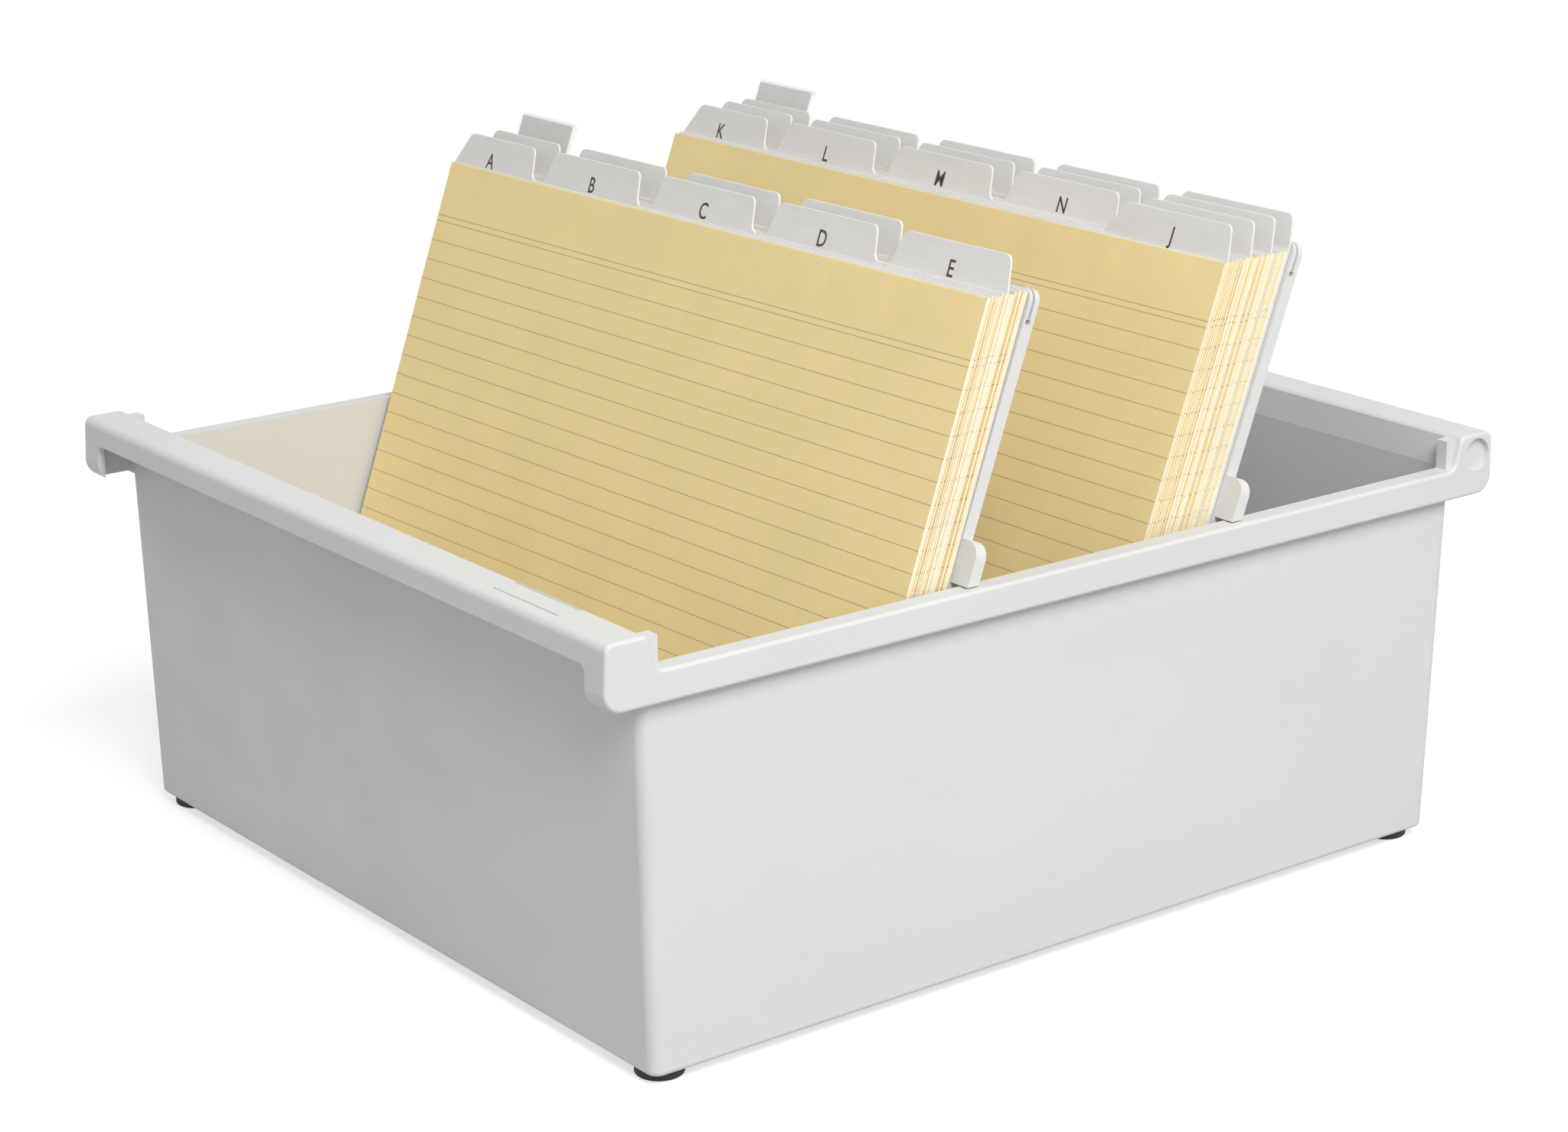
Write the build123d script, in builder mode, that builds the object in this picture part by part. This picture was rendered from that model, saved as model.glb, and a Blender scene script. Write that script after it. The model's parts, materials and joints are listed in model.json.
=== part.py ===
from build123d import *
import os
from math import cos, radians, sin, tan

# Card index tray for landscape A5 cards, standing open with two banks of cards.
# Millimetres. +X is one long side, -Y the grip rail at the user's end, +Z up.
# The origin is on the table, under the middle of the tray.

# ---------------------------------------------------------------- driving sizes
card_width = 210.0
card_height = 148.0

# tray body: a drafted open box
body_half_width = 108.2
body_half_length = 117.25
side_draft = 0.5
end_draft = 1.7
body_corner = 3.0
wall = 2.0
floor_thickness = 2.5
bottom_round = 1.2

# rolled rims along the long sides
rim_height = 92.0
rim_gap = 1.2
rim_edge = 0.8
skirt_thickness = 1.8
skirt_depth = 7.2
skirt_corner = 4.5

# raised grip rails across both ends, with a leg at each corner
rail_rise = 8.0
rail_width = 10.4
rail_edge = 2.0
rail_front_draft = 0.5
lip_depth = 5.9
leg_width = 7.2
leg_corner = 2.0
cheek_lean = 2.2
cheek_top_round = 1.8
cheek_foot_round = 2.6
end_wall_lean = 1.5

# bare name frame pressed into the front rail
frame_length = 25.5
frame_width = 6.0
frame_line = 0.5
frame_depth = 0.25
frame_from_middle = 77.7
frame_corner = 0.8

# ribs on the floor, which carry the cards
floor_rib_count = 5
floor_rib_spacing = 46.0
floor_rib_width = 2.4
floor_rib_height = 9.0
floor_rib_end_gap = 4.0

# round sockets for a lid's pivots, in the rear cheeks
lid_socket_radius = 4.1
lid_socket_depth = 1.3
lid_socket_below_top = 5.2
lid_socket_from_end = 5.6

foot_height = 2.5
foot_radius = 5.5
foot_from_side = 7.4
foot_from_end = 6.7
foot_edge = 0.6

# the two banks: lean from upright, foot of the first card, sideways tilt and shift
front_lean = 20.0
front_foot = -75.1
front_foot_height = 13.0
front_turn = 0.7
front_shift = -1.05
rear_lean = 20.9
rear_foot = -6.2
rear_foot_height = 12.3
rear_turn = 0.26
rear_shift = -1.2

# each row flips by itself: (guide, tab position from the left, cards in front of it)
front_rows = [
    [("a", 1, 0.5), ("b", 2, 0.5), ("c", 3, 1.0), ("d", 4, 0.7), ("e", 5, 0.8)],
    [("f", 1, 0.0), ("g", 2, 0.8), ("h", 3, 0.5), ("i", 4, 0.5)],
]
front_row_ends = [("e", 1.2)]
rear_rows = [
    [("j", 5, 0.6), ("k", 1, 0.9), ("l", 2, 0.7), ("m", 3, 0.9), ("n", 4, 0.9), ("o", 5, 0.7)],
    [("p", 1, 0.0), ("q", 2, 0.5), ("r", 3, 0.0), ("s", 4, 0.8), ("t", 5, 0.4)],
    [("u", 1, 0.0), ("v", 2, 0.5), ("w", 3, 0.5), ("xy", 4, 0.4), ("z", 5, 0.0)],
]
rear_row_ends = [("o", 1.6), ("t", 1.2)]
row_gap = 0.3
plate_gap = 0.3

guide_half_width = 104.5
guide_thickness = 0.5
guide_shoulder = 0.7
tab_positions = 5
tab_pitch = 43.5
tab_width = 35.5
tab_rise = 8.0
tab_slant = 1.9
first_tab_slant = 4.6
tab_top_round = 2.0
tab_foot_round = 2.4

# leaning support plates
plate_half_width = 104.3
plate_height = 150.1
plate_thickness = 3.0
plate_top_corner = 3.0
plate_foot_gap = 0.5
ear_reach = 5.7
ear_height = 9.9
ear_corner = 3.5
ear_gap = 0.35
slot_panel = 0.9
slot_width = 0.75
slot_depth = 6.8
slot_foot_width = 1.4
slot_foot_depth = 1.0

# clear riders clipped over the plates, each with a paper label
rider_width = 23.3
rider_sheet = 0.35
rider_rise = 10.9
rider_front_leg = 6.2
rider_rear_leg = 5.5
rider_leg_gap = 0.2
rider_bulge = 1.7
rider_bulge_below_top = 1.6
rider_neck_below_top = 5.2
rider_neck = 0.8
rider_flare = 0.4
rider_top_round = 0.4
rider_bulge_round = 0.8
rider_neck_round = 0.6
rider_from_plate_end = 16.0
rear_rider_further = 4.3
insert_thickness = 0.22
insert_gap = 0.1
insert_side_gap = 0.4
insert_foot = 0.4
insert_top_gap = 1.4

# -------------------------------------------------------------- derived places
rim_top = foot_height + rim_height
rail_top = rim_top + rail_rise
side_slope = tan(radians(side_draft))
end_slope = tan(radians(end_draft))
wall_half_width = body_half_width + rim_height * side_slope
wall_half_length = body_half_length + rim_height * end_slope
skirt_inner = wall_half_width + rim_gap
skirt_outer = skirt_inner + skirt_thickness
skirt_bottom = rim_top - skirt_depth
rail_inner = wall_half_length - wall + end_wall_lean
rail_outer_top = rail_inner + rail_width
rail_outer_low = rail_outer_top + rail_front_draft
cheek_foot = rail_inner - cheek_lean
inner_floor = foot_height + floor_thickness
rib_top = inner_floor + floor_rib_height
ear_half_width = plate_half_width + ear_reach
overcut = 1.0
tolerance = 0.01

os.makedirs("parts", exist_ok=True)


def save(part, node):
    part.label = node
    export_step(part, "parts/" + node + ".step")


def near(value, target):
    return abs(abs(value) - target) < tolerance


# ------------------------------------------------------------------------- tray
def half_width_at(height):
    return body_half_width + (height - foot_height) * side_slope


def half_length_at(height):
    return body_half_length + (height - foot_height) * end_slope


def wall_section(height, inset):
    """The drafted wall's outline at a height, moved inwards by inset."""
    with BuildSketch(Plane.XY.offset(height)) as section:
        RectangleRounded(
            2 * (half_width_at(height) - inset),
            2 * (half_length_at(height) - inset),
            body_corner - inset,
        )
    return section.sketch


def mouth_section():
    """The cavity's outline above the rails, where the end walls lean outwards."""
    lean_slope = end_wall_lean / rail_rise
    with BuildSketch(Plane.XY.offset(rail_top + overcut)) as section:
        RectangleRounded(
            2 * (wall_half_width - wall),
            2 * (rail_inner + overcut * lean_slope),
            body_corner - wall,
        )
    return section.sketch


def hood_profile():
    """Side view of rims, rails and skirts: the rear half, mirrored to the front."""
    with BuildSketch() as profile:
        with BuildLine():
            Line((0, skirt_bottom), (rail_outer_low - skirt_corner, skirt_bottom))
            RadiusArc(
                (rail_outer_low - skirt_corner, skirt_bottom),
                (rail_outer_low, skirt_bottom + skirt_corner),
                -skirt_corner,
            )
            Polyline(
                (rail_outer_low, skirt_bottom + skirt_corner),
                (rail_outer_top, rail_top),
                (rail_inner, rail_top),
                (cheek_foot, rim_top),
                (0, rim_top),
            )
            mirror(about=Plane.YZ)
        make_face()
        fillet(vertices().filter_by(lambda v: near(v.X, rail_inner)), cheek_top_round)
        fillet(vertices().filter_by(lambda v: near(v.X, cheek_foot)), cheek_foot_round)
        fillet(vertices().filter_by(lambda v: near(v.X, rail_outer_top)), rail_edge)
    return profile.sketch


def hood_hollow_profile():
    """Side view of the space under rims and rails, open downwards."""
    outer = rail_outer_low - skirt_thickness
    under_rail = rail_top - skirt_thickness
    under_rim = rim_top - skirt_thickness
    with BuildSketch() as profile:
        with BuildLine():
            Polyline(
                (0, skirt_bottom - overcut),
                (outer, skirt_bottom - overcut),
                (outer, under_rail - rail_edge),
                (outer - rail_edge, under_rail),
                (cheek_foot, under_rail),
                (cheek_foot, under_rim),
                (0, under_rim),
            )
            mirror(about=Plane.YZ)
        make_face()
    return profile.sketch


def end_wall_profile():
    """Side view of both end walls, from below the rim up into the rails."""
    inner = wall_half_length - 2 * wall
    with BuildSketch() as profile:
        with BuildLine():
            Polyline(
                (inner, skirt_bottom),
                (half_length_at(skirt_bottom), skirt_bottom),
                (wall_half_length, rim_top),
                (rail_inner + wall, rail_top - skirt_thickness / 2),
                (inner, rail_top - skirt_thickness / 2),
                close=True,
            )
        make_face()
        mirror(about=Plane.YZ)
    return profile.sketch


with BuildPart() as tray:
    with BuildSketch(Plane.YZ):
        add(hood_profile())
    extrude(amount=skirt_outer, both=True)
    fillet(faces().filter_by(Axis.X).edges(), rim_edge)
    with BuildSketch(Plane.YZ):
        add(hood_hollow_profile())
    extrude(amount=skirt_inner, both=True, mode=Mode.SUBTRACT)
    # finger gap: between the corner legs the lip hangs only a little below the rail
    with BuildSketch(Plane.XZ):
        with Locations((0, rail_top - lip_depth)):
            Rectangle(
                2 * (skirt_outer - leg_width),
                rail_rise + skirt_depth,
                align=(Align.CENTER, Align.MAX),
            )
        fillet(vertices().group_by(Axis.Y)[-1], leg_corner)
    extrude(amount=rail_outer_low + overcut, both=True, mode=Mode.SUBTRACT)
    # drafted box and its cavity
    under_rim_top = rim_top - skirt_thickness / 2
    loft(sections=[wall_section(foot_height, 0), wall_section(under_rim_top, 0)], ruled=True)
    with BuildSketch(Plane.YZ):
        add(end_wall_profile())
    extrude(amount=skirt_inner, both=True)
    cavity_foot = wall_section(inner_floor, wall)
    cavity_rim = wall_section(rim_top, wall)
    loft(sections=[cavity_foot, cavity_rim], ruled=True, mode=Mode.SUBTRACT)
    loft(sections=[cavity_rim, mouth_section()], ruled=True, mode=Mode.SUBTRACT)
    bottom_edges = edges().group_by(Axis.Z)[0]
    fillet(bottom_edges, bottom_round)
    # floor ribs
    rib_length = 2 * (half_length_at(inner_floor) - wall - floor_rib_end_gap)
    with BuildSketch(Plane.XY.offset(inner_floor)):
        with GridLocations(floor_rib_spacing, 0, floor_rib_count, 1):
            Rectangle(floor_rib_width, rib_length)
    extrude(amount=floor_rib_height)
    # lid sockets
    socket_centre = (rail_outer_low - lid_socket_from_end, rail_top - lid_socket_below_top)
    for side in (-1, 1):
        with BuildSketch(Plane.YZ.offset(side * skirt_outer)):
            with Locations(socket_centre):
                Circle(lid_socket_radius)
        extrude(amount=-side * lid_socket_depth, mode=Mode.SUBTRACT)
    # bare frame on the front rail
    frame_y = -(rail_inner + rail_outer_top - rail_edge) / 2
    with BuildSketch(Plane.XY.offset(rail_top)):
        with Locations((frame_from_middle, frame_y)):
            RectangleRounded(frame_length, frame_width, frame_corner)
            RectangleRounded(
                frame_length - 2 * frame_line,
                frame_width - 2 * frame_line,
                frame_corner - frame_line,
                mode=Mode.SUBTRACT,
            )
    extrude(amount=-frame_depth, mode=Mode.SUBTRACT)
save(tray.part, "tray")

# ------------------------------------------------------------------------- feet
foot_x = body_half_width - foot_from_side
foot_y = body_half_length - foot_from_end
foot_places = {
    "foot_front_left": (-foot_x, -foot_y),
    "foot_front_right": (foot_x, -foot_y),
    "foot_rear_left": (-foot_x, foot_y),
    "foot_rear_right": (foot_x, foot_y),
}
for foot_name, foot_place in foot_places.items():
    with BuildPart() as foot:
        with BuildSketch():
            with Locations(foot_place):
                Circle(foot_radius)
        extrude(amount=foot_height)
        fillet(edges().group_by(Axis.Z)[0], foot_edge)
    save(foot.part, foot_name)


# -------------------------------------------------------------- cards and guides
def bank_plane(lean, foot_middle, turn):
    """Plane of a leaning sheet's front face: local X to the right, local Y up it."""
    lean_angle = radians(lean)
    turn_angle = radians(turn)
    towards_user = (0, -cos(lean_angle), sin(lean_angle))
    to_the_right = (
        cos(turn_angle),
        sin(turn_angle) * sin(lean_angle),
        sin(turn_angle) * cos(lean_angle),
    )
    return Plane(origin=foot_middle, x_dir=to_the_right, z_dir=towards_user)


def save_pack(plane, lean, thickness, node):
    with BuildPart() as pack:
        with BuildSketch(plane):
            Rectangle(card_width, card_height, align=(Align.CENTER, Align.MIN))
        extrude(amount=thickness / cos(radians(lean)), dir=(0, 1, 0))
    save(pack.part, node)


def guide_outline(position):
    """A sheet with one tab on its top edge, position 1 at the left."""
    shoulder = card_height + guide_shoulder
    top = shoulder + tab_rise
    right_foot = guide_half_width - (tab_positions - position) * tab_pitch
    left_foot = right_foot - tab_width - 2 * tab_slant
    left_slant = tab_slant
    if left_foot < -guide_half_width:
        left_foot = -guide_half_width
        left_slant = first_tab_slant
    outline = [
        (-guide_half_width, 0),
        (guide_half_width, 0),
        (guide_half_width, shoulder),
        (right_foot, shoulder),
        (right_foot - tab_slant, top),
        (left_foot + left_slant, top),
        (left_foot, shoulder),
        (-guide_half_width, shoulder),
    ]
    corners = [point for i, point in enumerate(outline) if point != outline[i - 1]]
    with BuildSketch() as sheet:
        with BuildLine():
            Polyline(*corners, close=True)
        make_face()
        fillet(vertices().filter_by(lambda v: near(v.Y, top)), tab_top_round)
        tab_feet = vertices().filter_by(
            lambda v: near(v.Y, shoulder) and abs(v.X) < guide_half_width - tolerance
        )
        fillet(tab_feet, tab_foot_round)
    return sheet.sketch


def save_guide(plane, lean, position, node):
    with BuildPart() as guide:
        with BuildSketch(plane):
            add(guide_outline(position))
        extrude(amount=guide_thickness / cos(radians(lean)), dir=(0, 1, 0))
    save(guide.part, node)


def save_bank(rows, row_ends, lean, foot, foot_height_in_tray, turn, shift):
    """Write every pack and guide of a bank, and return how deep the bank is."""
    foot_x_middle = shift + card_height * sin(radians(turn))
    ends = dict(row_ends)
    depth = 0.0

    def plane_here():
        foot_middle = (
            foot_x_middle,
            foot + depth / cos(radians(lean)),
            foot_height + foot_height_in_tray,
        )
        return bank_plane(lean, foot_middle, turn)

    for row in rows:
        previous = "front"
        for letter, position, cards in row:
            if cards > 0:
                save_pack(plane_here(), lean, cards, "cards_before_" + letter)
                depth += cards
            save_guide(plane_here(), lean, position, "guide_" + letter)
            depth += guide_thickness
            previous = letter
        if previous in ends:
            save_pack(plane_here(), lean, ends[previous], "cards_behind_" + previous)
            depth += ends[previous]
        depth += row_gap
    return depth - row_gap


front_depth = save_bank(
    front_rows, front_row_ends, front_lean, front_foot, front_foot_height, front_turn, front_shift
)
rear_depth = save_bank(
    rear_rows, rear_row_ends, rear_lean, rear_foot, rear_foot_height, rear_turn, rear_shift
)


# ---------------------------------------------------- plates, riders and inserts
def plate_plane(lean, foot, foot_height_in_tray, depth):
    """Front face of a plate behind its bank, with the origin at the plate's foot."""
    lean_angle = radians(lean)
    foot_level = rib_top + plate_foot_gap + plate_thickness * sin(lean_angle)
    bank_level = foot_height + foot_height_in_tray
    face_at_bank_level = foot + (depth + plate_gap) / cos(lean_angle)
    face_at_foot = face_at_bank_level + (foot_level - bank_level) * tan(lean_angle)
    return bank_plane(lean, (0, face_at_foot, foot_level), 0)


def save_plate(plane, lean, node):
    ear_level = rim_top + ear_gap - tolerance
    ear_foot = (ear_level - plane.origin.Z) / cos(radians(lean))
    ear_top = ear_foot + ear_height
    with BuildPart() as plate:
        with BuildSketch(plane):
            Rectangle(
                2 * plate_half_width, plate_height, align=(Align.CENTER, Align.MIN)
            )
            fillet(vertices().group_by(Axis.Y)[-1], plate_top_corner)
            with Locations((0, ear_foot)):
                Rectangle(2 * ear_half_width, ear_height, align=(Align.CENTER, Align.MIN))
            ear_corners = vertices().filter_by(
                lambda v: near(v.X, ear_half_width) and near(v.Y, ear_top)
            )
            fillet(ear_corners, ear_corner)
        extrude(amount=-plate_thickness)
        # the ears rest level on the rims
        with BuildSketch(Plane.XY.offset(rim_top + ear_gap)):
            with Locations((0, plane.origin.Y)):
                Rectangle(2 * ear_half_width + overcut, 2 * plate_height)
                Rectangle(2 * plate_half_width, 2 * plate_height, mode=Mode.SUBTRACT)
        extrude(amount=-ear_height, mode=Mode.SUBTRACT)
        # slot in the top edge, with a wider foot that the rider's leg snaps into
        with BuildSketch(plane.offset(-slot_panel)):
            with Locations((0, plate_height + overcut)):
                Rectangle(
                    2 * plate_half_width + overcut,
                    slot_depth + overcut,
                    align=(Align.CENTER, Align.MAX),
                )
        extrude(amount=-slot_width, mode=Mode.SUBTRACT)
        slot_foot_front = slot_panel - (slot_foot_width - slot_width) / 2
        with BuildSketch(plane.offset(-slot_foot_front)):
            with Locations((0, plate_height - slot_depth)):
                Rectangle(
                    2 * plate_half_width + overcut,
                    slot_foot_depth,
                    align=(Align.CENTER, Align.MAX),
                )
        extrude(amount=-slot_foot_width, mode=Mode.SUBTRACT)
    save(plate.part, node)


def side_plane(plane, x_place):
    """Cross-section plane of a plate: local X backwards through it, local Y up it."""
    origin = plane.origin + Vector(x_place, 0, 0)
    return Plane(origin=origin, x_dir=-plane.z_dir, z_dir=(1, 0, 0))


def save_rider(plane, middle, node):
    front_leg = slot_panel + slot_width / 2
    rear_leg = plate_thickness + rider_leg_gap + rider_sheet / 2
    top = plate_height + rider_rise
    path = [
        (front_leg, plate_height - rider_front_leg),
        (front_leg, top - rider_sheet),
        (front_leg + rider_bulge, top - rider_bulge_below_top),
        (front_leg + rider_neck, top - rider_neck_below_top),
        (rear_leg, plate_height + rider_flare),
        (rear_leg, plate_height - rider_rear_leg),
    ]
    with BuildPart() as rider:
        with BuildSketch(side_plane(plane, middle - rider_width / 2)):
            with BuildLine() as centre_line:
                FilletPolyline(
                    *path,
                    radius=[rider_top_round, rider_bulge_round, rider_neck_round, rider_neck_round],
                )
            trace(centre_line.line, line_width=rider_sheet)
        extrude(amount=rider_width)
    save(rider.part, node)


def save_insert(plane, middle, node):
    front_leg = slot_panel + slot_width / 2
    insert_front = front_leg + rider_sheet / 2 + insert_gap
    insert_top = plate_height + rider_rise - insert_top_gap
    with BuildPart() as insert:
        with BuildSketch(side_plane(plane, middle - rider_width / 2 + insert_side_gap)):
            with Locations((insert_front, plate_height + insert_foot)):
                Rectangle(
                    insert_thickness,
                    insert_top - plate_height - insert_foot,
                    align=(Align.MIN, Align.MIN),
                )
        extrude(amount=rider_width - 2 * insert_side_gap)
    save(insert.part, node)


front_rider_middle = rider_from_plate_end - plate_half_width
rear_rider_middle = front_rider_middle - rear_rider_further
front_plate_plane = plate_plane(front_lean, front_foot, front_foot_height, front_depth)
rear_plate_plane = plate_plane(rear_lean, rear_foot, rear_foot_height, rear_depth)
save_plate(front_plate_plane, front_lean, "front_support_plate")
save_plate(rear_plate_plane, rear_lean, "rear_support_plate")
save_rider(front_plate_plane, front_rider_middle, "front_rider")
save_rider(rear_plate_plane, rear_rider_middle, "rear_rider")
save_insert(front_plate_plane, front_rider_middle, "front_label_insert")
save_insert(rear_plate_plane, rear_rider_middle, "rear_label_insert")
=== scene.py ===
"""Looks of the index card tray: moulded plastic, ruled cards, lettered guides, clear riders."""
import json
import math

import bpy
from bpy.props import (
    FloatProperty,
    FloatVectorProperty,
    IntProperty,
    PointerProperty,
)
from bpy.types import Operator, Panel, PropertyGroup
from mathutils import Matrix, Vector

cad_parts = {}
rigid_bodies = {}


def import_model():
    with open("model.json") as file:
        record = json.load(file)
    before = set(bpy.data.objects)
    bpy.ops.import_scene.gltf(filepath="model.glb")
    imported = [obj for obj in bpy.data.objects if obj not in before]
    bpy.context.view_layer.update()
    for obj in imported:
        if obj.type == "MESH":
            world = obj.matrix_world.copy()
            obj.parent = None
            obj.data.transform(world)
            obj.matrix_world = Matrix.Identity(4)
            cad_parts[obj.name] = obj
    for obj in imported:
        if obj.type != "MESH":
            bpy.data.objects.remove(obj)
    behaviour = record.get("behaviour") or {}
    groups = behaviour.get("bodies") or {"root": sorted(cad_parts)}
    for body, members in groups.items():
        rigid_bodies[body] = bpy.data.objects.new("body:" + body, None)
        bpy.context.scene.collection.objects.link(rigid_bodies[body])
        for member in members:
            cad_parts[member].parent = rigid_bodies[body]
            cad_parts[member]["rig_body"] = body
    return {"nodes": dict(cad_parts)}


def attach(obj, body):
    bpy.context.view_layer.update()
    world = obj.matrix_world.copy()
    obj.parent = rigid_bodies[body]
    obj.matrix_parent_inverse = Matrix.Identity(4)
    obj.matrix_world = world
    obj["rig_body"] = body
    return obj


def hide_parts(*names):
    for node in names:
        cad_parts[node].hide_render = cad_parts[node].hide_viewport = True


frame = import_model()
NODES = frame["nodes"]
MM = 0.001
FONT_CAP_HEIGHT = 0.682  # of the built-in font at size 1
FLOOR_HALF_WIDTH = 12.0
SENSOR_WIDTH = 36.0  # of the camera, in millimetres
NEAREST_SEEN = 0.01
CARD_SHARE = 0.85  # of the room for one card, the most that the card itself takes
FEWEST_CARDS = 2  # in a pack
LINE_EDGES = (0.65, 0.35)  # of a line's width from its middle: bare card, full ink
INK_COVER = 0.85  # how much of the card the ruling ink hides

bl_info = {
    "name": "Index card tray",
    "version": (1, 0, 0),
    "blender": (4, 5, 0),
    "location": "View3D > Sidebar > Index tray",
    "description": "Dresses an index card tray with its cards, guides, riders and finishes",
    "category": "Object",
}


# ------------------------------------------------------------------------ settings
def length(name, description, default_mm):
    return FloatProperty(
        name=name, description=description, default=default_mm * MM, unit="LENGTH", precision=5
    )


def colour(name, description, default):
    return FloatVectorProperty(
        name=name, description=description, default=default, subtype="COLOR", size=3
    )


class PlasticSettings(PropertyGroup):
    tray_colour: colour("Tray", "Colour of the moulded tray", (0.70, 0.70, 0.695))
    plate_colour: colour("Plates", "Colour of the support plates", (0.72, 0.72, 0.71))
    foot_colour: colour("Feet", "Colour of the rubber feet", (0.030, 0.024, 0.020))
    rider_colour: colour("Riders", "Tint of the clear riders", (0.95, 0.96, 0.97))
    insert_colour: colour("Label inserts", "Colour of the paper in the riders", (0.74, 0.73, 0.71))


class CardSettings(PropertyGroup):
    card_colour: colour("Card", "Colour of the card stock", (0.95, 0.775, 0.385))
    edge_colour: colour("Cut edge", "Colour of the cards' cut edges", (0.98, 0.965, 0.91))
    line_colour: colour("Lines", "Colour of the printed lines", (0.52, 0.40, 0.24))
    edge_yellowing: FloatProperty(
        name="Edge yellowing", description="How yellow the yellowest cut edge is", default=0.18
    )
    card_pitch: length("Card pitch", "Room that one card takes in a pack", 0.26)
    card_thickness: length("Card thickness", "Thickness of one card", 0.23)
    uneven_top: length("Uneven top", "How far a card may stand above its pack", 0.45)
    uneven_side: length("Uneven side", "How far a card may stand out of its pack", 0.5)
    header_first: length("First header line", "From the top edge to the double line", 13.6)
    header_gap: length("Header gap", "Distance between the two header lines", 1.5)
    line_first: length("First line", "From the top edge to the first single line", 20.2)
    line_pitch: length("Line pitch", "Distance between ruled lines", 5.1)
    line_width: length("Line width", "Width of a printed line", 0.24)
    seed: IntProperty(name="Seed", description="Seed of the uneven packs", default=7)


class GuideSettings(PropertyGroup):
    guide_colour: colour("Guide", "Colour of the guide sheets", (0.76, 0.75, 0.725))
    ink_colour: colour("Letters", "Colour of the printed letters", (0.045, 0.036, 0.032))
    cap_height: length("Letter height", "Height of a capital letter", 3.8)
    letter_from_end: length("Letter place", "From the tab's right end to the letter", 16.2)
    letter_drop: length("Letter drop", "From the tab's top edge to the letter's middle", 5.8)
    ink_thickness: length("Ink", "How far the printed letters stand proud", 0.03)
    narrowing: FloatProperty(
        name="Letter width", description="How wide letters are against plain ones", default=0.84
    )
    bold: length("Stroke gain", "How much fatter the letter strokes are made", 0.05)


class StageSettings(PropertyGroup):
    camera_place: FloatVectorProperty(
        name="Camera", description="Where the camera stands", unit="LENGTH",
        default=(0.66944, -0.51297, 0.33170), size=3,
    )
    camera_yaw: FloatProperty(
        name="Yaw", description="Turn of the view to the left of +Y", unit="ROTATION",
        default=math.radians(52.493),
    )
    camera_pitch: FloatProperty(
        name="Pitch", description="Tilt of the view above level", unit="ROTATION",
        default=math.radians(-17.48),
    )
    camera_roll: FloatProperty(
        name="Roll", description="Turn of the picture about the view", unit="ROTATION",
        default=math.radians(-0.289),
    )
    camera_lens: FloatProperty(
        name="Lens", description="Focal length in millimetres", default=82.46
    )
    ambient: FloatProperty(name="Ambient", description="Strength of the even light", default=0.50)
    key: FloatProperty(name="Key", description="Power of the main light, in watts", default=16.3)
    key_size: FloatProperty(
        name="Key size", description="Width of the main light", default=0.7, unit="LENGTH"
    )
    key_distance: FloatProperty(
        name="Key distance", description="How far the main light stands", default=1.5,
        unit="LENGTH",
    )
    key_towards: FloatVectorProperty(
        name="Key direction", description="Direction to the main light",
        default=(0.667, -0.19, 0.721), size=3,
    )
    floor_colour: colour("Floor", "Colour of the floor as the light sees it", (0.5, 0.5, 0.5))
    floor_lift: FloatProperty(
        name="Floor lift", description="Light added to the floor to make it white", default=0.64
    )
    fade_start: FloatProperty(
        name="Fade start", description="Where the floor starts to fade to white",
        default=0.22, unit="LENGTH",
    )
    fade_end: FloatProperty(
        name="Fade end", description="Where the floor is plain white", default=0.75,
        unit="LENGTH",
    )


# ------------------------------------------------------------------- node building
def new_material(name, base, roughness):
    """A material with a bare Principled shader, and its node tree."""
    material = bpy.data.materials.new(name)
    material.use_nodes = True
    material.diffuse_color = (*base, 1.0)
    shader = material.node_tree.nodes["Principled BSDF"]
    shader.inputs["Base Color"].default_value = (*base, 1.0)
    shader.inputs["Roughness"].default_value = roughness
    return material, material.node_tree, shader


def add_node(tree, kind, inputs=(), **settings):
    """A new node, its settings set and its inputs filled with values or linked sockets."""
    node = tree.nodes.new(kind)
    for key, value in settings.items():
        setattr(node, key, value)
    for key, value in dict(inputs).items():
        if isinstance(value, bpy.types.NodeSocket):
            tree.links.new(value, node.inputs[key])
        else:
            node.inputs[key].default_value = value
    return node


def math_node(tree, operation, *values, clamp=False):
    node = add_node(
        tree, "ShaderNodeMath", dict(enumerate(values)), operation=operation, use_clamp=clamp
    )
    return node.outputs[0]


def mix_colours(tree, factor, first, second):
    node = add_node(tree, "ShaderNodeMix", data_type="RGBA")
    for socket, value in ((0, factor), (6, first), (7, second)):
        if isinstance(value, bpy.types.NodeSocket):
            tree.links.new(value, node.inputs[socket])
        else:
            node.inputs[socket].default_value = value
    return node.outputs[2]


def noise(tree, coordinates, scale, detail=2.0, stretch=(1, 1, 1)):
    mapping = add_node(
        tree, "ShaderNodeMapping", {"Vector": coordinates, "Scale": tuple(stretch)}
    )
    texture = add_node(
        tree,
        "ShaderNodeTexNoise",
        {"Vector": mapping.outputs[0], "Scale": scale, "Detail": detail},
    )
    return texture.outputs["Fac"]


def remap(tree, value, low, high, new_low=0.0, new_high=1.0):
    node = add_node(
        tree,
        "ShaderNodeMapRange",
        {"Value": value, "From Min": low, "From Max": high, "To Min": new_low, "To Max": new_high},
    )
    return node.outputs[0]


def vary_colour(tree, shader, base, amount, factor):
    """Base colour that wanders a little darker where factor is high."""
    darker = tuple(channel * (1 - amount) for channel in base)
    mixed = mix_colours(tree, factor, (*base, 1), (*darker, 1))
    tree.links.new(mixed, shader.inputs["Base Color"])


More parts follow.
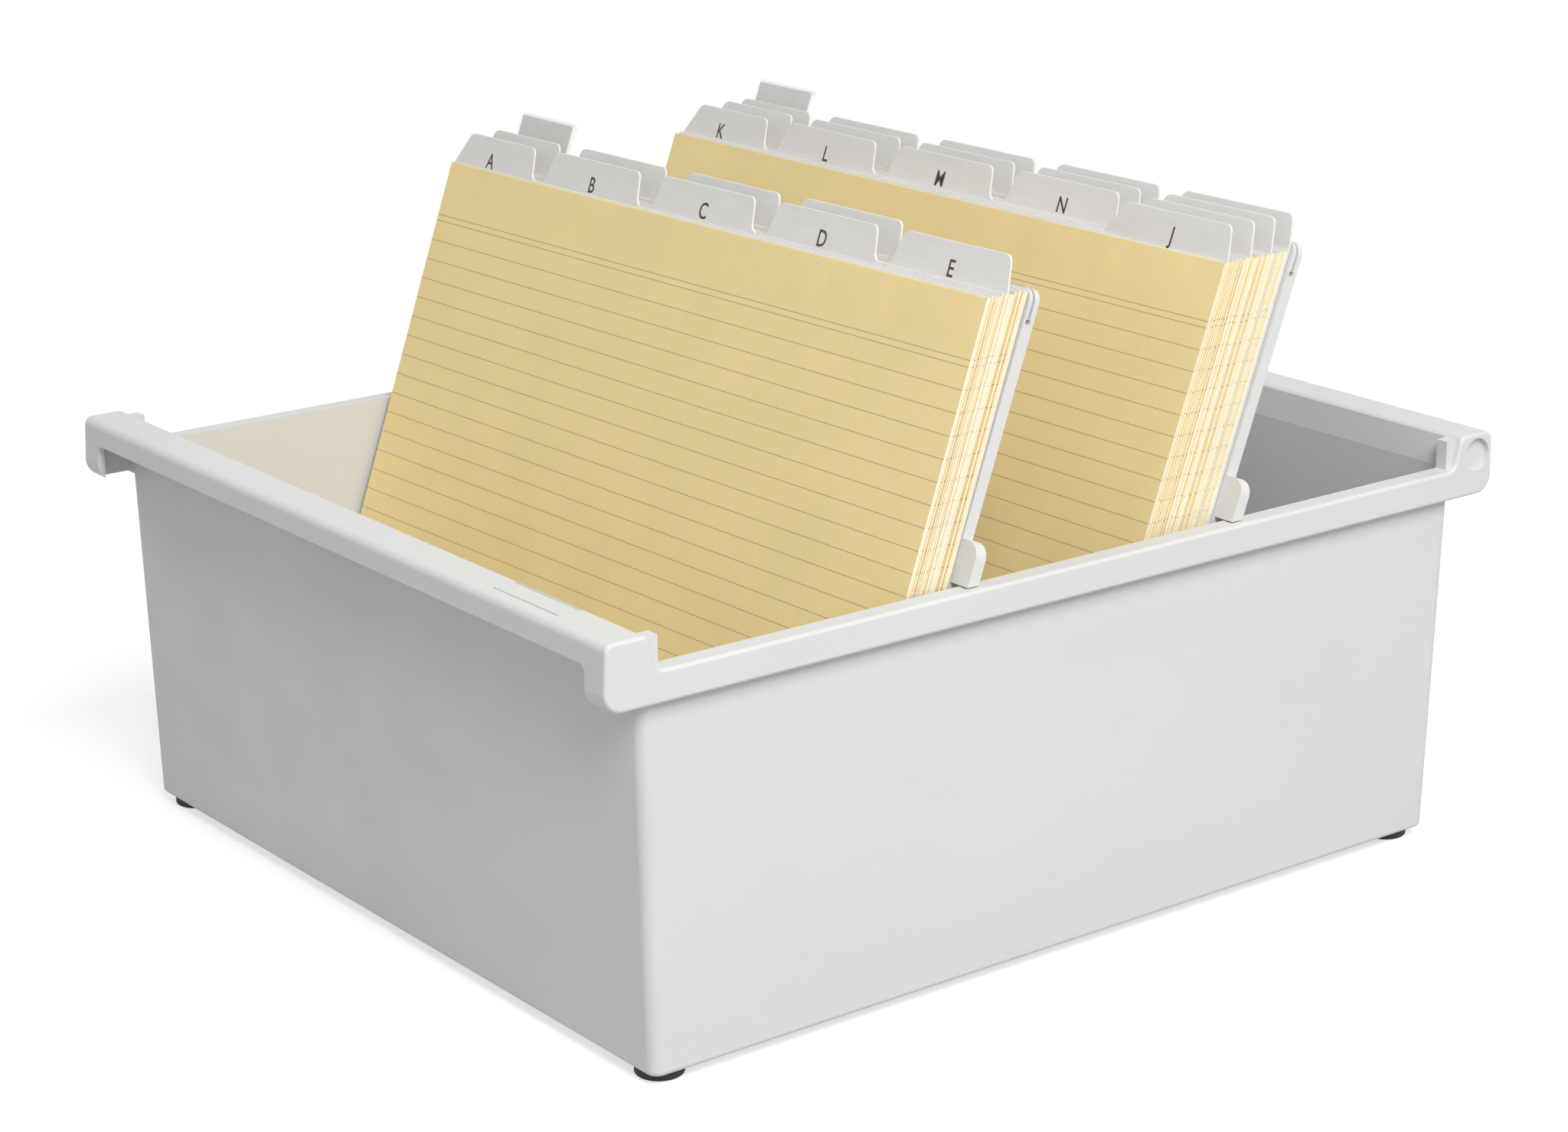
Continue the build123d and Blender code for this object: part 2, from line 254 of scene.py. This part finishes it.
def add_bump(tree, shader, height, strength, distance):
    bump = add_node(
        tree,
        "ShaderNodeBump",
        {"Height": height, "Strength": strength, "Distance": distance},
    )
    tree.links.new(bump.outputs[0], shader.inputs["Normal"])


def object_coordinates(tree):
    return add_node(tree, "ShaderNodeTexCoord").outputs["Object"]


def moulded_plastic(name, base, roughness=0.46):
    """Satin injection moulding: fine spark texture, faint flow marks and handling wear."""
    material, tree, shader = new_material(name, base, roughness)
    place = object_coordinates(tree)
    flow = noise(tree, place, 14.0, 3.0, (1, 1, 2.5))
    vary_colour(tree, shader, base, 0.035, remap(tree, flow, 0.35, 0.7))
    handling = noise(tree, place, 55.0, 5.0)
    tree.links.new(
        remap(tree, handling, 0.3, 0.7, roughness - 0.06, roughness + 0.08),
        shader.inputs["Roughness"],
    )
    add_bump(tree, shader, noise(tree, place, 2600.0, 2.0), 0.12, 0.00015)
    shader.inputs["Specular IOR Level"].default_value = 0.42
    return material


def foot_rubber(name, base):
    material, tree, shader = new_material(name, base, 0.75)
    place = object_coordinates(tree)
    grime = noise(tree, place, 260.0, 4.0)
    lighter = tuple(channel * 2.2 for channel in base)
    mixed = mix_colours(tree, remap(tree, grime, 0.45, 0.8), (*base, 1), (*lighter, 1))
    tree.links.new(mixed, shader.inputs["Base Color"])
    add_bump(tree, shader, noise(tree, place, 1800.0), 0.25, 0.0002)
    return material


def clear_plastic(name, base):
    """Thin clear sheet: nearly see-through face on, and more and more solid at grazing angles."""
    material, tree, shader = new_material(name, base, 0.08)
    grazing = add_node(tree, "ShaderNodeLayerWeight", {"Blend": 0.3}).outputs["Facing"]
    place = object_coordinates(tree)
    scuffs = noise(tree, place, 700.0, 6.0, (1, 4, 1))
    haze = remap(tree, scuffs, 0.4, 0.8, 0.10, 0.22)
    edges = remap(tree, grazing, 0.3, 1.0, 0.0, 0.75)
    tree.links.new(math_node(tree, "MAXIMUM", haze, edges), shader.inputs["Alpha"])
    tree.links.new(remap(tree, scuffs, 0.4, 0.8, 0.05, 0.18), shader.inputs["Roughness"])
    return material


def paper(name, base):
    material, tree, shader = new_material(name, base, 0.85)
    place = object_coordinates(tree)
    fibres = noise(tree, place, 900.0, 6.0)
    vary_colour(tree, shader, base, 0.05, remap(tree, fibres, 0.35, 0.7))
    add_bump(tree, shader, fibres, 0.15, 0.0001)
    shader.inputs["Specular IOR Level"].default_value = 0.25
    return material


def guide_sheet_plastic(name, base):
    """Thin rolled plastic sheet: an even satin with a faint grain along the sheet."""
    material, tree, shader = new_material(name, base, 0.5)
    place = object_coordinates(tree)
    grain = noise(tree, place, 420.0, 3.0, (0.25, 1, 1))
    vary_colour(tree, shader, base, 0.04, remap(tree, grain, 0.35, 0.7))
    add_bump(tree, shader, noise(tree, place, 3000.0), 0.1, 0.0001)
    return material


def printed_ink(name, base):
    material, tree, shader = new_material(name, base, 0.55)
    place = object_coordinates(tree)
    patchy = noise(tree, place, 2500.0, 2.0)
    lighter = tuple(channel * 1.9 for channel in base)
    mixed = mix_colours(tree, remap(tree, patchy, 0.5, 0.8), (*base, 1), (*lighter, 1))
    tree.links.new(mixed, shader.inputs["Base Color"])
    return material


def ruled_card(name, cards, card_height):
    """Card stock with a double header line and evenly ruled lines, read from the sheet's UV."""
    base = tuple(cards.card_colour)
    material, tree, shader = new_material(name, base, 0.82)
    sheet = add_node(tree, "ShaderNodeUVMap", uv_map="sheet")
    split = add_node(tree, "ShaderNodeSeparateXYZ", {"Vector": sheet.outputs[0]})
    down = math_node(tree, "SUBTRACT", card_height, split.outputs["Y"])

    def line_at(distance):
        bare, full = (cards.line_width * share for share in LINE_EDGES)
        return remap(tree, distance, bare, full)

    first = math_node(tree, "ABSOLUTE", math_node(tree, "SUBTRACT", down, cards.header_first))
    second_place = cards.header_first + cards.header_gap
    second = math_node(tree, "ABSOLUTE", math_node(tree, "SUBTRACT", down, second_place))
    header = math_node(tree, "MAXIMUM", line_at(first), line_at(second))
    steps = math_node(
        tree, "DIVIDE", math_node(tree, "SUBTRACT", down, cards.line_first), cards.line_pitch
    )
    past_nearest = math_node(tree, "SUBTRACT", steps, math_node(tree, "ROUND", steps))
    to_nearest = math_node(
        tree, "MULTIPLY", math_node(tree, "ABSOLUTE", past_nearest), cards.line_pitch
    )
    # true where the nearest line is the first single one or one below it
    below_header = math_node(tree, "GREATER_THAN", steps, -0.5)
    body_lines = math_node(tree, "MULTIPLY", line_at(to_nearest), below_header)
    lines = math_node(tree, "MAXIMUM", header, body_lines)
    on_face = add_node(tree, "ShaderNodeAttribute", attribute_name="on_face")
    lines = math_node(tree, "MULTIPLY", lines, on_face.outputs["Fac"])

    place = object_coordinates(tree)
    fibres = noise(tree, place, 1100.0, 7.0)
    cloudy = noise(tree, place, 60.0, 3.0)
    darker = tuple(channel * 0.94 for channel in base)
    stock = mix_colours(tree, remap(tree, cloudy, 0.3, 0.75), (*base, 1), (*darker, 1))
    speck = tuple(channel * 0.9 for channel in base)
    stock = mix_colours(tree, remap(tree, fibres, 0.5, 0.85, 0, 0.6), stock, (*speck, 1))
    tint = add_node(tree, "ShaderNodeAttribute", attribute_name="card_tint")
    edge = tuple(cards.edge_colour)
    yellowed = math_node(tree, "MULTIPLY", tint.outputs["Fac"], cards.edge_yellowing)
    edge_shade = mix_colours(tree, yellowed, (*edge, 1), (*speck, 1))
    faced = mix_colours(tree, on_face.outputs["Fac"], edge_shade, stock)
    cover = math_node(tree, "MULTIPLY", lines, INK_COVER)
    printed = mix_colours(tree, cover, faced, (*cards.line_colour, 1))
    tree.links.new(printed, shader.inputs["Base Color"])
    add_bump(tree, shader, fibres, 0.12, 0.00008)
    shader.inputs["Specular IOR Level"].default_value = 0.2
    return material


def dress(node, material):
    """Give a carried-over CAD piece its finish."""
    slots = NODES[node].material_slots
    if not slots:
        NODES[node].data.materials.append(material)
    for slot in NODES[node].material_slots:
        slot.material = material


def add_piece(name, mesh, body):
    piece = bpy.data.objects.new(name, mesh)
    bpy.context.scene.collection.objects.link(piece)
    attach(piece, body)
    return piece


# ------------------------------------------------------------------ leaning sheets
class Sheet:
    """Place of a leaning card pack, worked out from the eight corners of its solid."""

    def __init__(self, node):
        points = {tuple(round(c, 7) for c in v.co) for v in NODES[node].data.vertices}
        points = [Vector(p) for p in sorted(points)]
        left, right = points[:4], points[4:]
        self.foot = self.corner(left, top=False, back=False)
        across = self.corner(right, top=False, back=False) - self.foot
        up = self.corner(left, top=True, back=False) - self.foot
        self.stack = self.corner(left, top=False, back=True) - self.foot
        self.width = across.length
        self.height = up.length
        self.across = across.normalized()
        self.up = up.normalized()
        self.front = self.across.cross(self.up).normalized()

    @staticmethod
    def corner(four, top, back):
        by_height = sorted(four, key=lambda p: p.z)
        pair = by_height[2:] if top else by_height[:2]
        return max(pair, key=lambda p: p.y) if back else min(pair, key=lambda p: p.y)

    def matrix(self):
        """From sheet coordinates (right, up, towards the user) to the tray's frame."""
        turn = Matrix((self.across, self.up, self.front)).transposed().to_4x4()
        return Matrix.Translation(self.foot) @ turn

    def local(self, vector):
        return Vector((vector.dot(self.across), vector.dot(self.up), vector.dot(self.front)))


def input_socket(group, name, kind, default=None):
    socket = group.interface.new_socket(name=name, in_out="INPUT", socket_type=kind)
    if default is not None:
        socket.default_value = default
    return socket


def card_pack_nodes():
    """Geometry nodes: one card repeated along a step, each a little out of line."""
    group = bpy.data.node_groups.new("card pack", "GeometryNodeTree")
    input_socket(group, "Width", "NodeSocketFloat", 0.21)
    input_socket(group, "Height", "NodeSocketFloat", 0.148)
    input_socket(group, "Thickness", "NodeSocketFloat", 0.0002)
    input_socket(group, "Count", "NodeSocketInt", 3)
    input_socket(group, "Start", "NodeSocketVector")
    input_socket(group, "Step", "NodeSocketVector")
    input_socket(group, "Least Shift", "NodeSocketVector")
    input_socket(group, "Most Shift", "NodeSocketVector")
    input_socket(group, "Seed", "NodeSocketInt", 0)
    input_socket(group, "Material", "NodeSocketMaterial")
    group.interface.new_socket(name="Geometry", in_out="OUTPUT", socket_type="NodeSocketGeometry")
    given = group.nodes.new("NodeGroupInput").outputs

    size = add_node(
        group,
        "ShaderNodeCombineXYZ",
        {"X": given["Width"], "Y": given["Height"], "Z": given["Thickness"]},
    )
    card = add_node(
        group,
        "GeometryNodeMeshCube",
        {"Size": size.outputs[0], "Vertices X": 2, "Vertices Y": 2, "Vertices Z": 2},
    )
    half_size = add_node(
        group,
        "ShaderNodeVectorMath",
        {0: size.outputs[0], 1: (0.5, 0.5, 0.0)},
        operation="MULTIPLY",
    )
    from_corner = add_node(
        group,
        "GeometryNodeSetPosition",
        {"Geometry": card.outputs["Mesh"], "Offset": half_size.outputs[0]},
    )
    place = add_node(group, "GeometryNodeInputPosition")
    with_uv = add_node(
        group,
        "GeometryNodeStoreNamedAttribute",
        {"Geometry": from_corner.outputs[0], "Name": "sheet", "Value": place.outputs[0]},
        data_type="FLOAT2",
        domain="CORNER",
    )
    normal = add_node(group, "GeometryNodeInputNormal")
    facing = add_node(group, "ShaderNodeSeparateXYZ", {0: normal.outputs[0]})
    flatness = add_node(
        group, "ShaderNodeMath", {0: facing.outputs["Z"]}, operation="ABSOLUTE"
    )
    is_face = add_node(
        group, "ShaderNodeMath", {0: flatness.outputs[0], 1: 0.5}, operation="GREATER_THAN"
    )
    with_face = add_node(
        group,
        "GeometryNodeStoreNamedAttribute",
        {"Geometry": with_uv.outputs[0], "Name": "on_face", "Value": is_face.outputs[0]},
        data_type="FLOAT",
        domain="FACE",
    )
    line = add_node(
        group,
        "GeometryNodeMeshLine",
        {"Count": given["Count"], "Start Location": given["Start"], "Offset": given["Step"]},
        mode="OFFSET",
    )
    shift = add_node(
        group,
        "FunctionNodeRandomValue",
        {"Min": given["Least Shift"], "Max": given["Most Shift"], "Seed": given["Seed"]},
        data_type="FLOAT_VECTOR",
    )
    shuffled = add_node(
        group,
        "GeometryNodeSetPosition",
        {"Geometry": line.outputs["Mesh"], "Offset": shift.outputs[0]},
    )
    cards = add_node(
        group,
        "GeometryNodeInstanceOnPoints",
        {"Points": shuffled.outputs[0], "Instance": with_face.outputs[0]},
    )
    tint = add_node(
        group, "FunctionNodeRandomValue", {"Seed": given["Seed"]}, data_type="FLOAT"
    )
    tinted = add_node(
        group,
        "GeometryNodeStoreNamedAttribute",
        {"Geometry": cards.outputs[0], "Name": "card_tint", "Value": tint.outputs[1]},
        data_type="FLOAT",
        domain="INSTANCE",
    )
    real = add_node(group, "GeometryNodeRealizeInstances", {"Geometry": tinted.outputs[0]})
    finished = add_node(
        group,
        "GeometryNodeSetMaterial",
        {"Geometry": real.outputs[0], "Material": given["Material"]},
    )
    out = group.nodes.new("NodeGroupOutput")
    group.links.new(finished.outputs[0], out.inputs[0])
    return group


def run_nodes(group, values, name):
    """The mesh that a geometry node group makes with these named inputs."""
    holder = bpy.data.objects.new(name + "_maker", bpy.data.meshes.new(name + "_seed"))
    bpy.context.scene.collection.objects.link(holder)
    modifier = holder.modifiers.new("nodes", "NODES")
    modifier.node_group = group
    for item in group.interface.items_tree:
        if item.item_type == "SOCKET" and item.in_out == "INPUT" and item.name in values:
            modifier[item.identifier] = values[item.name]
    graph = bpy.context.evaluated_depsgraph_get()
    mesh = bpy.data.meshes.new_from_object(holder.evaluated_get(graph), depsgraph=graph)
    mesh.name = name
    holder.modifiers.remove(modifier)
    bpy.data.objects.remove(holder)
    return mesh


# ----------------------------------------------------------------------- operators
class INDEXTRAY_OT_plastics(Operator):
    """Finish the tray, the support plates and the feet"""

    bl_idname = "index_tray.plastics"
    bl_label = "Finish moulded pieces"

    def execute(self, context):
        looks = context.scene.index_tray_plastics
        tray = moulded_plastic("tray_plastic", tuple(looks.tray_colour))
        plates = moulded_plastic("plate_plastic", tuple(looks.plate_colour), 0.4)
        rubber = foot_rubber("foot_rubber", tuple(looks.foot_colour))
        for node in NODES:
            if node == "tray":
                dress(node, tray)
            elif node.endswith("_support_plate"):
                dress(node, plates)
            elif node.startswith("foot_"):
                dress(node, rubber)
        return {"FINISHED"}


class INDEXTRAY_OT_riders(Operator):
    """Finish the clear riders and their label inserts"""

    bl_idname = "index_tray.riders"
    bl_label = "Finish riders"

    def execute(self, context):
        looks = context.scene.index_tray_plastics
        clear = clear_plastic("clear_rider", tuple(looks.rider_colour))
        label = paper("label_paper", tuple(looks.insert_colour))
        for node in NODES:
            if node.endswith("_rider"):
                dress(node, clear)
            elif node.endswith("_label_insert"):
                dress(node, label)
        return {"FINISHED"}


class INDEXTRAY_OT_cards(Operator):
    """Fill each pack's space with single ruled cards"""

    bl_idname = "index_tray.cards"
    bl_label = "Make card packs"

    def execute(self, context):
        looks = context.scene.index_tray_cards
        group = card_pack_nodes()
        packs = sorted(node for node in NODES if node.startswith("cards_"))
        card_height = Sheet(packs[0]).height
        material = ruled_card("card_paper", looks, card_height)
        for number, node in enumerate(packs):
            sheet = Sheet(node)
            room = -sheet.local(sheet.stack).z
            count = max(FEWEST_CARDS, round(room / looks.card_pitch))
            step = sheet.local(sheet.stack) / count
            values = {
                "Width": sheet.width,
                "Height": sheet.height,
                "Thickness": min(looks.card_thickness, CARD_SHARE * room / count),
                "Count": count,
                "Start": step / 2,
                "Step": step,
                "Least Shift": (-looks.uneven_side, 0.0, 0.0),
                "Most Shift": (looks.uneven_side, looks.uneven_top, 0.0),
                "Seed": looks.seed + number,
                "Material": material,
            }
            mesh = run_nodes(group, values, node + "_sheets")
            mesh.transform(sheet.matrix())
            piece = add_piece(node + "_sheets", mesh, NODES[node]["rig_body"])
            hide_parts(node)
        return {"FINISHED"}


class INDEXTRAY_OT_guides(Operator):
    """Finish the guides and print their letters"""

    bl_idname = "index_tray.guides"
    bl_label = "Finish guides"

    def execute(self, context):
        looks = context.scene.index_tray_guides
        plastic = guide_sheet_plastic("guide_plastic", tuple(looks.guide_colour))
        ink = printed_ink("guide_ink", tuple(looks.ink_colour))
        banks = {"front": Sheet("cards_before_a"), "rear": Sheet("cards_before_j")}
        for node in sorted(NODES):
            if not node.startswith("guide_"):
                continue
            dress(node, plastic)
            letter = node.removeprefix("guide_").upper()
            bank = banks["front"] if letter <= "I" else banks["rear"]
            points = [bank.local(v.co - bank.foot) for v in NODES[node].data.vertices]
            face = max(p.z for p in points)
            front = [p for p in points if p.z > face - looks.ink_thickness]
            top = max(p.y for p in front)
            tab_end = max(p.x for p in front if p.y > top - looks.ink_thickness)
            at = Vector((tab_end - looks.letter_from_end, top - looks.letter_drop, face))
            mesh = letter_mesh(node + "_letter", letter, looks)
            mesh.transform(bank.matrix() @ Matrix.Translation(at))
            mesh.materials.clear()
            mesh.materials.append(ink)
            add_piece(node + "_letter", mesh, NODES[node]["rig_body"])
        return {"FINISHED"}


def letter_mesh(name, letter, looks):
    """A flat printed letter, its middle at the origin, standing a little proud."""
    text = bpy.data.curves.new(name, "FONT")
    text.body = letter
    text.align_x = "CENTER"
    text.align_y = "CENTER"
    text.size = 1.0
    text.resolution_u = 4
    holder = bpy.data.objects.new(name + "_text", text)
    bpy.context.scene.collection.objects.link(holder)
    bpy.context.view_layer.update()
    scale = looks.cap_height / FONT_CAP_HEIGHT
    text.extrude = looks.ink_thickness / scale
    text.offset = looks.bold / scale
    graph = bpy.context.evaluated_depsgraph_get()
    mesh = bpy.data.meshes.new_from_object(holder.evaluated_get(graph), depsgraph=graph)
    mesh.name = name
    bpy.data.objects.remove(holder)
    heights = [v.co.y for v in mesh.vertices]
    widths = [v.co.x for v in mesh.vertices]
    middle = Vector(((min(widths) + max(widths)) / 2, (min(heights) + max(heights)) / 2, 0))
    narrow = Matrix.Diagonal((looks.narrowing, 1, 1, 1))
    mesh.transform(Matrix.Scale(scale, 4) @ narrow @ Matrix.Translation(-middle))
    return mesh


def backdrop_material(name, stage):
    """A floor that keeps the tray's shadow near it and is plain white further away."""
    material, tree, shader = new_material(name, tuple(stage.floor_colour), 0.9)
    shader.inputs["Specular IOR Level"].default_value = 0.0
    rays = add_node(tree, "ShaderNodeLightPath")
    seen = math_node(tree, "MAXIMUM", rays.outputs["Is Camera Ray"], rays.outputs["Is Glossy Ray"])
    seen = math_node(tree, "MAXIMUM", seen, rays.outputs["Is Transmission Ray"])
    lift = math_node(tree, "MULTIPLY", seen, stage.floor_lift)
    glow = add_node(tree, "ShaderNodeEmission", {"Color": (1, 1, 1, 1), "Strength": lift})
    near = add_node(tree, "ShaderNodeAddShader", {0: shader.outputs[0], 1: glow.outputs[0]})
    white = add_node(tree, "ShaderNodeEmission", {"Color": (1, 1, 1, 1), "Strength": 1.0})
    distance = add_node(
        tree, "ShaderNodeVectorMath", {0: object_coordinates(tree)}, operation="LENGTH"
    )
    fade = remap(tree, distance.outputs["Value"], stage.fade_start, stage.fade_end)
    fade = math_node(tree, "MULTIPLY", fade, seen)
    mixed = add_node(
        tree, "ShaderNodeMixShader", {0: fade, 1: near.outputs[0], 2: white.outputs[0]}
    )
    tree.links.new(mixed.outputs[0], tree.nodes["Material Output"].inputs["Surface"])
    return material


class INDEXTRAY_OT_stage(Operator):
    """Set the floor, the light and the camera"""

    bl_idname = "index_tray.stage"
    bl_label = "Set the stage"

    def execute(self, context):
        stage = context.scene.index_tray_stage
        self.add_floor(stage)
        self.add_light(context.scene, stage)
        self.add_camera(context.scene, stage)
        context.scene.view_settings.view_transform = "Standard"
        return {"FINISHED"}

    @staticmethod
    def add_floor(stage):
        half = FLOOR_HALF_WIDTH
        corners = [(-half, -half, 0), (half, -half, 0), (half, half, 0), (-half, half, 0)]
        mesh = bpy.data.meshes.new("floor")
        mesh.from_pydata(corners, [], [(0, 1, 2, 3)])
        mesh.materials.append(backdrop_material("floor", stage))
        floor = bpy.data.objects.new("floor", mesh)
        bpy.context.scene.collection.objects.link(floor)

    @staticmethod
    def add_light(scene, stage):
        world = bpy.data.worlds.new("studio")
        world.use_nodes = True
        tree = world.node_tree
        rays = add_node(tree, "ShaderNodeLightPath")
        seen = math_node(
            tree, "MAXIMUM", rays.outputs["Is Camera Ray"], rays.outputs["Is Transmission Ray"]
        )
        seen = math_node(tree, "MAXIMUM", seen, rays.outputs["Is Glossy Ray"])
        background = tree.nodes["Background"]
        background.inputs["Color"].default_value = (1, 1, 1, 1)
        strength = math_node(
            tree, "ADD", math_node(tree, "MULTIPLY", seen, 1 - stage.ambient), stage.ambient
        )
        tree.links.new(strength, background.inputs["Strength"])
        scene.world = world
        lamp = bpy.data.lights.new("key", "AREA")
        lamp.energy = stage.key
        lamp.size = stage.key_size
        towards = Vector(stage.key_towards).normalized()
        key = bpy.data.objects.new("key", lamp)
        key.location = towards * stage.key_distance
        key.rotation_euler = towards.to_track_quat("Z", "Y").to_euler()
        scene.collection.objects.link(key)

    @staticmethod
    def add_camera(scene, stage):
        yaw, pitch, roll = stage.camera_yaw, stage.camera_pitch, stage.camera_roll
        ahead = Vector(
            (
                -math.sin(yaw) * math.cos(pitch),
                math.cos(yaw) * math.cos(pitch),
                math.sin(pitch),
            )
        )
        right = Vector((math.cos(yaw), math.sin(yaw), 0.0))
        up = right.cross(ahead)
        rolled_right = right * math.cos(roll) + up * math.sin(roll)
        rolled_up = up * math.cos(roll) - right * math.sin(roll)
        turn = Matrix((rolled_right, rolled_up, -ahead)).transposed().to_4x4()
        lens = bpy.data.cameras.new("camera")
        lens.lens = stage.camera_lens
        lens.sensor_width = SENSOR_WIDTH
        lens.clip_start = NEAREST_SEEN
        camera = bpy.data.objects.new("camera", lens)
        camera.matrix_world = Matrix.Translation(Vector(stage.camera_place)) @ turn
        scene.collection.objects.link(camera)
        scene.camera = camera


class INDEXTRAY_PT_panel(Panel):
    """Lists the pieces of the tray that can be made again"""

    bl_label = "Index tray"
    bl_idname = "INDEXTRAY_PT_panel"
    bl_space_type = "VIEW_3D"
    bl_region_type = "UI"
    bl_category = "Index tray"

    def draw(self, context):
        for operator in OPERATORS:
            self.layout.operator(operator.bl_idname)
        for settings in SETTINGS:
            box = self.layout.box()
            group = getattr(context.scene, settings)
            for name in group.__annotations__:
                box.prop(group, name)


SETTINGS = {
    "index_tray_plastics": PlasticSettings,
    "index_tray_cards": CardSettings,
    "index_tray_guides": GuideSettings,
    "index_tray_stage": StageSettings,
}
OPERATORS = (
    INDEXTRAY_OT_plastics,
    INDEXTRAY_OT_riders,
    INDEXTRAY_OT_cards,
    INDEXTRAY_OT_guides,
    INDEXTRAY_OT_stage,
)


def register():
    for cls in (*SETTINGS.values(), *OPERATORS, INDEXTRAY_PT_panel):
        bpy.utils.register_class(cls)
    for name, cls in SETTINGS.items():
        setattr(bpy.types.Scene, name, PointerProperty(type=cls))


def unregister():
    for name in SETTINGS:
        delattr(bpy.types.Scene, name)
    for cls in (INDEXTRAY_PT_panel, *reversed(OPERATORS), *reversed(list(SETTINGS.values()))):
        bpy.utils.unregister_class(cls)


def main():
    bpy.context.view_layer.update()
    register()
    bpy.ops.index_tray.plastics()
    bpy.ops.index_tray.riders()
    bpy.ops.index_tray.cards()
    bpy.ops.index_tray.guides()
    bpy.ops.index_tray.stage()


if __name__ == "__main__":
    main()
